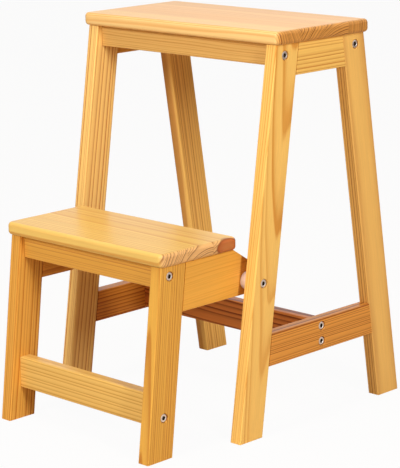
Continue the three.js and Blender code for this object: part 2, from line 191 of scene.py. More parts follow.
# %% The solid figure of pine, with its sizes in mm
ALONG_FIBRE = (1, 1, 0.02)
PATCH_SIZE = 60


def pine_figure():
    """A node group: the colour and the height of lacquered pine at a point in millimetres."""
    tree = bpy.data.node_groups.new("pine figure", "ShaderNodeTree")
    for name, kind in {"Point": "Vector", "Early": "Color", "Late": "Color", "Ring": "Float",
                       "Wander": "Float", "Seed": "Float"}.items():
        tree.interface.new_socket(name=name, in_out="INPUT", socket_type="NodeSocket" + kind)
    for name, kind in {"Color": "Color", "Height": "Float"}.items():
        tree.interface.new_socket(name=name, in_out="OUTPUT", socket_type="NodeSocket" + kind)
    given = tree.nodes.new("NodeGroupInput").outputs
    slow, late = add_rings(tree, given)

    drawn = add_node(tree, "VectorMath", {0: given["Point"], 1: ALONG_FIBRE}, operation="MULTIPLY")
    fibre = add_node(tree, "TexNoise", {"Vector": drawn, "Scale": 0.9, "Detail": 3.0, "Roughness": 0.65})
    patch = add_node(tree, "TexNoise", {"Vector": slow, "Scale": 1 / PATCH_SIZE, "Detail": 1.0})

    wood = add_node(tree, "Mix", {"Factor": late, "A": given["Early"], "B": given["Late"]},
                    data_type="RGBA")
    light = add_node(tree, "Math", {0: fibre, 1: 0.28, 2: 0.86}, operation="MULTIPLY_ADD")
    cloud = add_node(tree, "Math", {0: patch, 1: 0.24, 2: 0.88}, operation="MULTIPLY_ADD")
    both = add_node(tree, "Math", {0: light, 1: cloud}, operation="MULTIPLY")
    toned = add_node(tree, "HueSaturation", {"Color": wood.outputs["Result"], "Value": both})
    height = add_node(tree, "Math", {0: late, 1: 0.6, 2: fibre}, operation="MULTIPLY_ADD")
    result = tree.nodes.new("NodeGroupOutput").inputs
    tree.links.new(toned.outputs[0], result["Color"])
    tree.links.new(height.outputs[0], result["Height"])
    return tree


FIGURE = pine_figure()
print("pine figure:", len(FIGURE.nodes), "nodes")

# %% [markdown]
# ## Modelling by hand, in code
#
# Each piece starts as a primitive at its size and place, and is then shaped in edit mode. An operator
# works on what is selected, so a helper selects the points, edges or faces that pass a test. Place and
# size are applied at once, so that the object stays at the origin with its mesh where it belongs.

# %% Helpers for starting and selecting
HAIR = 0.01 * MM
MOSTLY = 0.7
SQUARE_ON = 0.9


def start_piece(name):
    """Gives the new primitive its name and applies its place, then goes into edit mode."""
    piece = bpy.context.object
    piece.name = piece.data.name = name
    bpy.ops.object.transform_apply(location=True, rotation=True, scale=True)
    bpy.ops.object.mode_set(mode="EDIT")
    bpy.ops.mesh.select_mode(type="VERT")
    bpy.ops.mesh.select_all(action="DESELECT")
    return piece


def plank(name, low, high):
    """A cube grown to a plank's box, in edit mode."""
    bpy.ops.object.select_all(action="DESELECT")
    bpy.ops.mesh.primitive_cube_add(size=1, location=(low + high) / 2, scale=high - low)
    return start_piece(name)


def select_parts(piece, kind, test):
    """In edit mode, selects only the verts, edges or faces that pass the test."""
    bpy.ops.mesh.select_mode(type=kind)
    bpy.ops.mesh.select_all(action="DESELECT")
    mesh = bmesh.from_edit_mesh(piece.data)
    for part in {"VERT": mesh.verts, "EDGE": mesh.edges, "FACE": mesh.faces}[kind]:
        part.select_set(test(part))
    mesh.select_flush_mode()
    bmesh.update_edit_mesh(piece.data)


def select_long_edges(piece, axis):
    """In edit mode, selects the edges that run mostly along an axis."""
    def runs_along(edge):
        run = edge.verts[1].co - edge.verts[0].co
        return abs(run[axis]) > MOSTLY * run.length
    select_parts(piece, "EDGE", runs_along)


def select_facing(piece, axis):
    """In edit mode, selects the faces that look along an axis, either way."""
    select_parts(piece, "FACE", lambda face: abs(face.normal[axis]) > SQUARE_ON)


def round_over(width, segments):
    """In edit mode, rounds the selected edges."""
    bpy.ops.mesh.bevel(offset=width, segments=segments, profile=0.5, affect="EDGES")


# %% [markdown]
# ## Cutting, copying and finishing
#
# A hole is made as in a workshop: a bit is put where it has to go, and a Boolean takes its shape out
# of the board. A planed surface needs flat shading on its broad faces and soft shading on its eased
# edges: the smooth angle and the weighted normals give both.

# %% Helpers for cutting and finishing
SMOOTH_ANGLE = math.radians(40)
FACE_WEIGHT = 80


def pick(piece):
    """Makes a piece the only selected object, and the active one."""
    bpy.ops.object.select_all(action="DESELECT")
    bpy.context.view_layer.objects.active = piece
    piece.select_set(True)


def apply_modifier(piece, kind, **settings):
    """Adds a modifier with its settings and applies it."""
    pick(piece)
    modifier = piece.modifiers.new(kind.lower(), kind)
    for name, value in settings.items():
        setattr(modifier, name, value)
    bpy.ops.object.modifier_apply(modifier=modifier.name)


def take_away(piece, cutters):
    """Cuts the shapes of the cutters out of a piece, and throws the cutters away."""
    for cutter in cutters:
        apply_modifier(piece, "BOOLEAN", object=cutter, operation="DIFFERENCE", solver="EXACT")
        bpy.data.objects.remove(cutter)


def finish_piece(piece, node):
    """Shades a piece, and puts it on the body and in the place of its CAD node."""
    pick(piece)
    bpy.ops.object.shade_smooth_by_angle(angle=SMOOTH_ANGLE)
    apply_modifier(piece, "WEIGHTED_NORMAL", keep_sharp=True, weight=FACE_WEIGHT)
    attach(piece, BODY_OF[node])
    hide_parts(node)


def copy_at(piece, name, turn, place):
    """A copy with its own mesh, turned by a matrix about the origin and moved to its place."""
    copy = bpy.data.objects.new(name, piece.data.copy())
    bpy.context.scene.collection.objects.link(copy)
    copy.matrix_world = Matrix.Translation(place) @ turn.to_4x4()
    pick(copy)
    bpy.ops.object.transform_apply(location=True, rotation=True, scale=True)
    return copy


# %% [markdown]
# ## Round things
#
# A bolt, a spacer and the bit of a drill are all turned: round, with a radius that changes along the
# axis. By hand that is a circle, extruded a step at a time and scaled at each step. A drill's bit is
# made the same way. Most bits get a little wider at the mouth, because the edge of a drilled hole in
# lacquered wood is never sharp.

# %% Turned pieces
SIDES = 40
PAST = 2.0
AXIS_TURN = {
    "+x": Matrix.Rotation(math.radians(90), 3, "Y"), "-x": Matrix.Rotation(math.radians(-90), 3, "Y"),
    "+y": Matrix.Rotation(math.radians(-90), 3, "X"), "-y": Matrix.Rotation(math.radians(90), 3, "X"),
    "-z": Matrix.Rotation(math.radians(180), 3, "X"),
}


def turned(name, profile, sides=SIDES, closed=False):
    """A circle extruded along Z to each next (radius, height), in mm. A closed profile is a ring."""
    radius, height = profile[0]
    bpy.ops.object.select_all(action="DESELECT")
    bpy.ops.mesh.primitive_circle_add(vertices=sides, radius=radius * MM, location=(0, 0, height * MM),
                                      fill_type="NOTHING" if closed else "NGON")
    piece = start_piece(name)
    bpy.ops.mesh.select_all(action="SELECT")
    for next_radius, next_height in profile[1:]:
        bpy.ops.mesh.extrude_region_move(
            TRANSFORM_OT_translate={"value": (0, 0, (next_height - height) * MM)})
        grow = next_radius / radius
        bpy.ops.transform.resize(value=(grow, grow, 1), center_override=(0, 0, next_height * MM))
        radius, height = next_radius, next_height
    bpy.ops.mesh.select_all(action="SELECT")
    bpy.ops.mesh.remove_doubles(threshold=HAIR)
    bpy.ops.mesh.normals_make_consistent(inside=False)
    bpy.ops.object.mode_set(mode="OBJECT")
    return piece


def bit(radius, low, direction, place, flare=0.0, pilot=None):
    """A drill's bit for one hole, from a depth to past the surface, which is at height 0."""
    profile = [(radius, low), (radius, -flare), (radius + flare, 0), (radius + flare, PAST)]
    if pilot:
        profile = [(pilot[0], pilot[1]), (pilot[0], low)] + profile
    tool = turned("bit", profile)
    placed = copy_at(tool, "placed_bit", AXIS_TURN[direction], place)
    bpy.data.objects.remove(tool)
    return placed


# %% [markdown]
# ## Legs
#
# A leg is a straight board that leans, and its foot and top are sawn level. A cube at the foot's place
# gets its top moved over, which leans the board and keeps both ends level in one step. A planer leaves
# the long edges with a small round, the eased edge, and it's this round that catches the light along
# each board. So the long edges are bevelled, and the sawn ends lose only their sharpness.

# %% Leaning legs
HANDS = {"right": "+x", "left": "-x"}
EASE = 1.6 * MM
END_EASE = 0.35 * MM
LEG_WIDTH = 40.5 * MM
STEP_LEG_WIDTH = 41.5 * MM
boards = {}


def keep(node, board):
    """Leaves edit mode and keeps a board by the name of its node."""
    bpy.ops.object.mode_set(mode="OBJECT")
    boards[node] = board


def soften_ends(board, axis):
    """In edit mode, takes the sharpness off the edges round the two ends of a board."""
    select_facing(board, axis)
    bpy.ops.mesh.region_to_loop()
    round_over(END_EASE, segments=2)


def ease_long_edges(board, axis):
    """In edit mode, rounds the edges that run along a board."""
    select_long_edges(board, axis)
    round_over(EASE, segments=4)


def leg_lean(node, width):
    """The side of the foot with the lower Y, and how far the top leans from it."""
    low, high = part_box(node)
    over = high.y - low.y - width
    return (high.y - width, -over) if "rear" in node else (low.y, over)


def leg(node, width):
    """A leaning leg with eased edges."""
    low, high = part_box(node)
    foot, over = leg_lean(node, width)
    board = plank(node + "_board", Vector((low.x, foot, low.z)), Vector((high.x, foot + width, high.z)))
    select_parts(board, "VERT", lambda corner: corner.co.z > high.z - HAIR)
    bpy.ops.transform.translate(value=(0, over, 0))
    ease_long_edges(board, 2)
    soften_ends(board, 2)
    keep(node, board)


for hand in HANDS:
    for kind, width in (("front_leg", LEG_WIDTH), ("rear_leg", LEG_WIDTH), ("step_leg", STEP_LEG_WIDTH)):
        leg(f"{kind}_{hand}", width)
print("legs:", sorted(boards))

# %% [markdown]
# ## Boards between the legs
#
# The side aprons and side stretchers run from the front leg to the rear leg, so their ends are cut to
# the lean of the legs. A long plank gets its eased edges first, and is then sawn at both ends with a
# bisecting plane that closes the cut. That is the order of the workshop too, and the ends then lose
# no more than their sharpness, so that they sit tight on the legs.

# %% Side aprons and side stretchers
JOINT = 0.2 * MM


def saw(board, place, facing):
    """In edit mode, saws off all that lies on the facing side of a plane, and closes the cut."""
    bpy.ops.mesh.select_all(action="SELECT")
    bpy.ops.mesh.bisect(plane_co=place, plane_no=facing, use_fill=True, clear_outer=True)


def leg_face(node, width, z, inner):
    """A point on the inner edge of a leg at a height, and the direction square to that edge."""
    foot, over = leg_lean(node, width)
    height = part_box(node)[1].z
    rear = "rear" in node
    edge = foot + over * z / height + (0 if rear else width)
    outward = 1 if rear else -1
    square = Vector((0, outward, -outward * over / height)).normalized()
    return Vector((0, edge - outward * inner, z)), square


def between_legs(node, hand):
    """A plank from the front leg to the rear leg, sawn to their lean."""
    low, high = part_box(node)
    board = plank(node + "_board", low, high)
    ease_long_edges(board, 1)
    for where in ("front", "rear"):
        saw(board, *leg_face(f"{where}_leg_{hand}", LEG_WIDTH, low.z, JOINT))
    soften_ends(board, 1)
    keep(node, board)


for hand in HANDS:
    for kind in ("side_apron", "side_stretcher"):
        between_legs(f"{kind}_{hand}", hand)
print("boards between the legs:", [round(v, 4) for v in boards["side_apron_right"].dimensions])

# %% [markdown]
# ## Boards across the stool
#
# The aprons, the cross rail and the step's stretcher are square-cut planks that run from one side frame
# to the other. The side frames stand upright, so no saw is needed: the plank is made at its length.

# %% Aprons, cross rail and stretcher
def across(node):
    """A square-cut plank across the stool."""
    board = plank(node + "_board", *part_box(node))
    ease_long_edges(board, 0)
    soften_ends(board, 0)
    keep(node, board)


for node in ("front_apron", "rear_apron", "cross_rail", "step_apron", "step_stretcher"):
    across(node)
print("cross rail:", [round(v, 4) for v in boards["cross_rail"].dimensions])

# %% [markdown]
# ## Rails of the step
#
# The rail under the tread runs back to the pivot. Its tail is sawn down on a slope, so that it clears
# the seat's apron as the step swings over, and its lower corner is rounded. The outline comes first,
# from a plank with one sawn slope and one wide bevel. Then the whole run round both faces is eased, and
# last the front end is sawn to the lean of the step's leg.

# %% Step rails
TAIL_HEIGHT = 32 * MM
TAIL_ROUND = 6 * MM
SLOPE_START = 21.3 * MM
RAIL_SPARE = 10 * MM


def step_rail(hand):
    """A rail with its sloped tail."""
    node = f"step_rail_{hand}"
    low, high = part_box(node)
    pivot = sum(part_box(f"pivot_nut_{hand}"), Vector()) / 2
    board = plank(node + "_board", low - Vector((0, RAIL_SPARE, 0)), high)
    slope_low = Vector((0, high.y, low.z + TAIL_HEIGHT))
    slope_high = Vector((0, pivot.y - SLOPE_START, high.z))
    run = slope_high - slope_low
    saw(board, slope_low, Vector((0, run.z, -run.y)).normalized())
    select_parts(board, "EDGE", lambda edge: all(
        v.co.y > high.y - HAIR and v.co.z < low.z + HAIR for v in edge.verts))
    round_over(TAIL_ROUND, segments=8)
    select_facing(board, 0)
    bpy.ops.mesh.region_to_loop()
    round_over(EASE, segments=4)
    place, square = leg_face(f"step_leg_{hand}", STEP_LEG_WIDTH, low.z, 0)
    saw(board, place + Vector((0, JOINT, 0)), square)
    keep(node, board)


for hand in HANDS:
    step_rail(hand)
print("step rail:", [round(v, 4) for v in boards["step_rail_right"].dimensions])

# %% [markdown]
# ## Seat and tread
#
# Both are glued up from narrow strips and then shaped as one board. In plan their corners are round,
# and all round the top and the bottom the edge is turned over with a large radius, so that nothing
# presses into a leg or a foot. The corners are bevelled first and each rim after them, because the rim
# has to run round the finished corners.

# %% Seat and tread
CORNER_ROUND = 8 * MM
RIM_ROUND = 5 * MM


def rounded_board(node):
    """A board with round corners in plan and a large round along both rims."""
    low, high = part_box(node)
    board = plank(node + "_glued", low, high)
    select_long_edges(board, 2)
    round_over(CORNER_ROUND, segments=10)
    for z in (low.z, high.z):
        select_parts(board, "FACE", lambda face: all(abs(v.co.z - z) < HAIR for v in face.verts))
        bpy.ops.mesh.region_to_loop()
        round_over(RIM_ROUND, segments=7)
    keep(node, board)


for node in ("seat_board", "tread_board"):
    rounded_board(node)
    print(node, [round(v, 4) for v in boards[node].dimensions], len(boards[node].data.polygons), "faces")

# %% [markdown]
# ## Bits for the holes
#
# Each socket bolt sits in a stepped hole: a wide recess for its head in the outer face, and a narrower
# one for its shank. The barrel nut sits in a blind hole from a hidden face. A drill goes in where its
# fastener is, so each hole is cut with a bit that is placed from the fastener's own box.

# %% Bits, with their sizes in mm
THICKNESS = 17
HEAD_HOLE, HEAD_DEPTH, HEAD_FLARE = 5.9, 6.6, 0.5
SHANK_HOLE, BOLT_DEPTH, SHANK_FLARE = 3.35, 38.6, 0.2
NUT_HOLE, NUT_DEPTH, NUT_FLARE = 5.25, 15.25, 0.3
SCREW_HOLE, SCREW_HEAD_HOLE, SCREW_FLARE = 2.3, 4.6, 0.3
SCREW_HEAD = 2.4
SCREW_PAST = 40
PILOT_SPARE = 0.3
PIVOT_HOLE = 3.3


def middle(node):
    """The middle of a CAD node's box."""
    low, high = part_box(node)
    return (low + high) / 2


def outer_spot(board, bolt, hand):
    """Where a bolt's axis comes out of the outer face of a board."""
    low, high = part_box(board)
    spot = middle(bolt)
    spot.x = high.x if hand == "right" else low.x
    return spot


def bolt_hole(board, bolt, hand):
    """A stepped bit for a bolt, from the outer face of its board and through it."""
    return bit(HEAD_HOLE, -HEAD_DEPTH, HANDS[hand], outer_spot(board, bolt, hand), HEAD_FLARE,
               (SHANK_HOLE, -THICKNESS - PAST))


def end_holes(board, bolt, opens):
    """Bits for a bore in each end of a board, and for the blind holes of the barrel nuts."""
    holes = []
    low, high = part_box(board)
    for hand, side in HANDS.items():
        end = outer_spot(board, f"{bolt}_bolt_{hand}", hand)
        holes.append(bit(SHANK_HOLE, -BOLT_DEPTH, side, end, SHANK_FLARE))
        face = middle(f"{bolt}_barrel_nut_{hand}")
        face.y = high.y if opens == "+y" else low.y
        holes.append(bit(NUT_HOLE, -NUT_DEPTH, opens, face, NUT_FLARE))
    return holes


def screw_holes(board, screws):
    """Bits for screws that go up through a board: each head goes in from below."""
    holes = []
    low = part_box(board)[0]
    for screw in screws:
        spot, bearing = middle(screw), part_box(screw)[0].z + SCREW_HEAD * MM
        spot.z = low.z
        rise = (bearing - low.z) / MM
        holes.append(bit(SCREW_HEAD_HOLE, -rise, "-z", spot, SCREW_FLARE, (SCREW_HOLE, -rise - SCREW_PAST)))
    return holes


def pilot_holes(kind):
    """Bits for the blind holes of the screws in the underside of the seat or the tread."""
    holes = []
    for hand in HANDS:
        for where in ("front", "rear"):
            screw = f"{kind}_screw_{where}_{hand}"
            spot, tip = middle(screw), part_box(screw)[1].z
            spot.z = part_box(f"{kind}_board")[0].z
            holes.append(bit(SCREW_HOLE, -(tip - spot.z) / MM - PILOT_SPARE, "-z", spot))
    return holes


# %% [markdown]
# ## Drilling
#
# The legs and the side stretchers are drilled through from outside. The boards across the stool get a
# bore in each end that meets a barrel nut's hole, and the nuts of the rear apron go in from the front
# of that board. The rail of the step has the pivot's bore and one screw, and the screws end in blind
# holes in the seat and the tread.

# %% Drill the boards
for hand in HANDS:
    for kind, bolts in (("front_leg", ("front_apron", "pivot")), ("rear_leg", ("rear_apron",)),
                        ("side_stretcher", ("cross_rail_lower", "cross_rail_upper")),
                        ("step_leg", ("step_apron", "step_stretcher"))):
        node = f"{kind}_{hand}"
        take_away(boards[node], [bolt_hole(node, f"{bolt}_bolt_{hand}", hand) for bolt in bolts])
    rail = f"step_rail_{hand}"
    pivot = middle(f"pivot_nut_{hand}")
    pivot.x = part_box(rail)[1].x
    take_away(boards[rail], [bit(PIVOT_HOLE, -THICKNESS - PAST, "+x", pivot)]
              + screw_holes(rail, [f"tread_screw_rear_{hand}"]))
for bolt in ("front_apron", "rear_apron", "cross_rail_lower", "cross_rail_upper", "step_apron",
             "step_stretcher"):
    node = "cross_rail" if "cross_rail" in bolt else bolt
    take_away(boards[node], end_holes(node, bolt, "-y" if node == "rear_apron" else "+y"))
for node, screw in (("front_apron", "seat_screw_front"), ("rear_apron", "seat_screw_rear"),
                    ("step_apron", "tread_screw_front")):
    take_away(boards[node], screw_holes(node, [f"{screw}_{hand}" for hand in HANDS]))
for kind in ("seat", "tread"):
    take_away(boards[f"{kind}_board"], pilot_holes(kind))
print("drilled:", {node: len(board.data.polygons) for node, board in boards.items()})

# %% [markdown]
# ## Plated steel
#
# The fasteners are steel with a bright nickel plate, which is a little warm. Their turning marks are far
# too fine to show at this size, so a fine noise stands in for them: it changes the roughness from spot
# to spot, which breaks up the highlight. The steel inside a socket is dull, and it is given a dark
# brownish colour as painted shade for the recess, which gives each bolt head its dark eye.

# %% Nickel plate, and dull steel darkened as painted shade for the sockets
MARK_SCALE = 2500.0
MARK_DEPTH = 0.02 * MM


def metal(name, color, rough_low, rough_high):
    """Steel with fine marks that change its roughness."""
    material, tree = new_material(name)
    room = add_node(tree, "TexCoord")
    marks = add_node(tree, "TexNoise", {"Vector": room.outputs["Object"], "Scale": MARK_SCALE,
                     "Detail": 2.0})
    wear = add_node(tree, "MapRange", {"Value": marks, "To Min": rough_low, "To Max": rough_high})
    scratch = add_node(tree, "Bump", {"Height": marks, "Strength": 0.15, "Distance": MARK_DEPTH})
    shader = add_node(tree, "BsdfPrincipled", {"Base Color": linear(color), "Metallic": 1.0,
                      "Roughness": wear, "Normal": scratch})
    add_node(tree, "OutputMaterial", {"Surface": shader})
    return material


nickel = metal("nickel_plated_steel", "#F4ECE6", 0.2, 0.38)
# Dull steel, darkened to paint the shade inside each socket
socket_shade_steel = metal("dull_steel_with_painted_socket_shade", "#5E5046", 0.35, 0.5)
print("metals:", nickel.name, socket_shade_steel.name)

# %% [markdown]
# ## Socket bolt
#
# The same few turned parts hold the whole stool. Each is modelled once about the origin with its head
# up, and then copied, turned and moved to where the frame has it. A socket bolt has a shank with a
# small point, a drum of a head with a rounded rim, and a hexagonal socket with a drilled point, cut
# with a six-sided cutter as a punch would press it.

# %% Socket bolt, with its sizes in mm
PATTERNS = {}
BOLT, BOLT_POINT, BOLT_LENGTH = 3.0, 0.8, 45
HEAD, HEAD_HEIGHT = 5.0, 5.6
HEAD_BREAK, HEAD_ROUND, HEAD_SHOULDER = 0.3, 0.8, 0.25
SOCKET = 2.5 / math.cos(math.radians(30))
SOCKET_FLOOR, SOCKET_TIP, SOCKET_MOUTH = 3.2, 4.2, 0.3
NEAR = 0.05


def socket_bolt(length):
    """A socket bolt with its head's underside at Z = 0."""
    bolt = turned("socket_bolt", [
        (BOLT - BOLT_POINT, -length), (BOLT, BOLT_POINT - length), (BOLT, 0), (HEAD - HEAD_BREAK, 0),
        (HEAD, HEAD_BREAK), (HEAD, HEAD_HEIGHT - HEAD_ROUND),
        (HEAD - HEAD_SHOULDER, HEAD_HEIGHT - HEAD_SHOULDER), (HEAD - HEAD_ROUND, HEAD_HEIGHT)])
    socket = turned("socket", [
        (SOCKET_MOUTH, HEAD_HEIGHT - SOCKET_TIP), (SOCKET, HEAD_HEIGHT - SOCKET_FLOOR),
        (SOCKET, HEAD_HEIGHT - SOCKET_MOUTH),
        (SOCKET + 2 * SOCKET_MOUTH, HEAD_HEIGHT + SOCKET_MOUTH)], sides=6)
    take_away(bolt, [socket])
    bolt.data.materials.append(nickel)
    bolt.data.materials.append(socket_shade_steel)
    # The faces inside the socket take the dark steel: painted shade in the recess
    bpy.ops.object.mode_set(mode="EDIT")
    select_parts(bolt, "FACE", lambda face: all(
        v.co.xy.length < (SOCKET + NEAR) * MM and v.co.z > (HEAD_HEIGHT - SOCKET_TIP - NEAR) * MM
        for v in face.verts))
    bolt.active_material_index = 1
    bpy.ops.object.material_slot_assign()
    bpy.ops.object.mode_set(mode="OBJECT")
    return bolt


pivot_low, pivot_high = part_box("pivot_bolt_right")
PATTERNS["pivot_bolt"] = socket_bolt((pivot_high.x - pivot_low.x) / MM - HEAD_HEIGHT)
PATTERNS["bolt"] = socket_bolt(BOLT_LENGTH)
print("socket bolt:", len(PATTERNS["bolt"].data.polygons), "faces")

# %% [markdown]
# ## Barrel nut
#
# A barrel nut is a short steel rod with a thread across it and a slot in its end, which turns it until
# the thread meets the bolt. The slot is cut with a thin block, as a saw would make it.

# %% Barrel nut, with its sizes in mm
NUT_HALF, NUT_RADIUS, NUT_CHAMFER = 6.5, 5.0, 0.4
THREAD, THREAD_SIDES = 3.2, 24
SLOT = (12, 1.4, 2.4)


def block(name, size, height):
    """A box in mm about the Z axis, for a cutter, with its middle at a height."""
    half, centre = Vector(size) / 2 * MM, Vector((0, 0, height)) * MM
    tool = plank(name, centre - half, centre + half)
    bpy.ops.object.mode_set(mode="OBJECT")
    return tool


PATTERNS["barrel_nut"] = turned("barrel_nut", [
    (NUT_RADIUS - NUT_CHAMFER, -NUT_HALF), (NUT_RADIUS, NUT_CHAMFER - NUT_HALF),
    (NUT_RADIUS, NUT_HALF - NUT_CHAMFER), (NUT_RADIUS - NUT_CHAMFER, NUT_HALF)])
tap = turned("tap", [(THREAD, -8), (THREAD, 8)], THREAD_SIDES)
tap_across = copy_at(tap, "tap_across", AXIS_TURN["+x"], Vector())
bpy.data.objects.remove(tap)
take_away(PATTERNS["barrel_nut"], [tap_across, block("slot", SLOT, NUT_HALF)])
print("barrel nut:", len(PATTERNS["barrel_nut"].data.polygons), "faces")

# %% [markdown]
# ## Wood screw
#
# A wood screw has a pan head with a cross recess, a plain shank and a point. A real recess narrows on
# its way down, but two thin blocks across each other look the same from outside.

# %% Wood screw, with its sizes in mm
RECESS = (4.4, 1.0, 2.6)

PATTERNS["screw"] = turned("wood_screw", [
    (0.1, -31), (2, -26), (2, 0), (4, 0), (4, 1.0), (3.3, 1.9), (2, SCREW_HEAD)], sides=24)
long, thin, deep = RECESS
take_away(PATTERNS["screw"], [block("cross", size, SCREW_HEAD)
                              for size in ((long, thin, deep), (thin, long, deep))])
print("wood screw:", len(PATTERNS["screw"].data.polygons), "faces")

# %% [markdown]
# ## Spacer, washer and nut
#
# The spacer is a thick moulded ring that keeps the step off the leg. The washer and the nut are on the
# inside of the step's rail. A ring is a tube of circles, extruded out, along and back in, and its last
# circle is merged with its first. A nut is a hexagon that shares its shape with a chamfered drum, which
# gives its corners their arcs.

# %% Spacer, washer and nut, with their sizes in mm
RING_SIDES, RING_BREAK = 48, 0.2
NUT_CORNER, NUT_HEIGHT = 10 / math.sqrt(3), 2.5


def ring(name, outer, inner, thickness, rounding):
    """A ring about the Z axis, with its middle at the origin."""
    half = thickness / 2
    arc = [(outer - rounding * (1 - math.sin(a)), half - rounding * (1 - math.cos(a)))
           for a in (math.radians(d) for d in (90, 60, 30, 0))]
    rim = [(r, -h) for r, h in reversed(arc)] + arc
    return turned(name, [(inner, half - RING_BREAK), (inner, RING_BREAK - half), (inner + RING_BREAK, -half)]
                  + rim + [(inner + RING_BREAK, half), (inner, half - RING_BREAK)], RING_SIDES, closed=True)


spacer_low, spacer_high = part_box("pivot_spacer_right")
PATTERNS["spacer"] = ring("spacer", 11.25, SHANK_HOLE, (spacer_high.x - spacer_low.x) / MM, 1.5)
PATTERNS["washer"] = ring("washer", 7.0, SHANK_HOLE, 1.6, 0.3)
PATTERNS["nut"] = turned("hex_nut", [(NUT_CORNER, -NUT_HEIGHT), (NUT_CORNER, NUT_HEIGHT)], sides=6)
drum = turned("drum", [(4.8, -NUT_HEIGHT), (5.9, -1.9), (5.9, 1.9), (4.8, NUT_HEIGHT)])
apply_modifier(PATTERNS["nut"], "BOOLEAN", object=drum, operation="INTERSECT", solver="EXACT")
bpy.data.objects.remove(drum)
take_away(PATTERNS["nut"], [turned("bore", [(THREAD, -4), (THREAD, 4)], THREAD_SIDES)])
print("patterns:", {name: len(pattern.data.polygons) for name, pattern in PATTERNS.items()})

# %% [markdown]
# ## Fasteners in their places
#
# Every fastener of the frame gets its copy. The head of a bolt faces outwards on its own side, so the
# pattern, which points up, is turned to +X on the right and to -X on the left. The patterns are looked
# up by name with the longer names first, because "nut" is in "barrel_nut" too.

# %% Place the fasteners
FASTENERS = {}
for node in frame["nodes"]:
    kind = next((name for name in PATTERNS if name in node), None)
    if not kind:
        continue
    low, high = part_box(node)
    spot = middle(node)
    direction = "+x" if node.endswith("right") else "-x"
    if kind in ("pivot_bolt", "bolt"):
        spot.x = high.x - HEAD_HEIGHT * MM if direction == "+x" else low.x + HEAD_HEIGHT * MM
    elif kind == "barrel_nut":
        direction = "-y" if node.startswith("rear_apron") else "+y"
    elif kind == "screw":
        direction = "-z"
        spot.z = low.z + SCREW_HEAD * MM
    FASTENERS[node] = copy_at(PATTERNS[kind], node + "_piece", AXIS_TURN[direction], spot)
for pattern in PATTERNS.values():
    bpy.data.objects.remove(pattern)
print("fasteners:", len(FASTENERS), "boards:", len(boards), "nodes:", len(frame["nodes"]))

# %% [markdown]
# ## Pine under lacquer
#
# Every board is cut from its own place in its own tree. So each gets the same solid figure, but with
# its own pith, ring width, tilt of the grain and tone. The Mapping node turns the room's metres into
# the board's millimetres, with Z along the grain. The lacquer is a thin satin coat. It is made weak
# seen from the front, with a low IOR, and stronger towards the edge of sight, because the colour of
# the wood is what the eye meets first.

# %% Pine material
RIGHT = Vector((1, 0, 0))
BACK = Vector((0, 1, 0))
UP = Vector((0, 0, 1))
WOOD_ROUGHNESS, WOOD_IOR, WOOD_SPECULAR = 0.42, 1.5, 0.05
COAT_WEIGHT, COAT_ROUGHNESS, COAT_IOR = 0.55, 0.3, 1.32
FIBRE_HEIGHT = 0.02 * MM


def board_axes(along, through, dive=(0.0, 0.0)):
    """A turn with Z along the grain and X through the board's thickness, tilted by degrees."""
    z = along.normalized()
    x = (through - through.dot(z) * z).normalized()
    axes = Matrix((x, z.cross(x), z)).transposed()
    return axes @ Euler((math.radians(dive[0]), math.radians(dive[1]), 0)).to_matrix()


def lacquered(tree, color, height):
    """Wood under a clear satin lacquer: the coat is smooth, and the fibres below it show a little."""
    relief = add_node(tree, "Bump", {"Height": height, "Strength": 0.25, "Distance": FIBRE_HEIGHT})
    shader = add_node(tree, "BsdfPrincipled", {
        "Base Color": color, "Roughness": WOOD_ROUGHNESS, "IOR": WOOD_IOR,
        "Specular IOR Level": WOOD_SPECULAR, "Coat Weight": COAT_WEIGHT,
        "Coat Roughness": COAT_ROUGHNESS, "Coat IOR": COAT_IOR, "Normal": relief})
    add_node(tree, "OutputMaterial", {"Surface": shader})


def board_point(tree, axes, pith):
    """The place of a point in the board's own millimetres, measured from its pith."""
    room = add_node(tree, "TexCoord")
    return add_node(tree, "Mapping", {"Vector": room.outputs["Object"], "Location": pith,
                    "Rotation": axes.to_euler(), "Scale": (MM, MM, MM)}, vector_type="TEXTURE")


def pine(node, axes, pith, early, late, ring, wander, seed):
    """Pine for one board. The pith is in mm from the board's middle, through it and across it."""
    material, tree = new_material(f"lacquered_pine_{node}")
    place = middle(node) + axes @ (Vector((*pith, 0)) * MM)
    figure = add_node(tree, "Group", {
        "Point": board_point(tree, axes, place), "Early": linear(early), "Late": linear(late),
        "Ring": ring, "Wander": wander, "Seed": seed}, node_tree=FIGURE)
    lacquered(tree, figure.outputs["Color"], figure.outputs["Height"])
    return material


# %% [markdown]
# ## Timber for each board
#
# A pith far behind a board's broad face gives that face wide flames and gives the narrow edge fine
# straight lines; a pith beside the board swaps the two. A grain that dives by a degree or two makes
# the flames pointed. Each row is one board, matched to the same board in the photograph. Its
# faces are all cut from one solid, so a row that makes one face right settles its neighbours too.

# %% The timber
def leg_direction(node, width):
    """Along a leg, from its foot up."""
    return Vector((0, leg_lean(node, width)[1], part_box(node)[1].z))


FRONT_LEG = leg_direction("front_leg_right", LEG_WIDTH)
REAR_LEG = leg_direction("rear_leg_right", LEG_WIDTH)
STEP_LEG = leg_direction("step_leg_right", STEP_LEG_WIDTH)

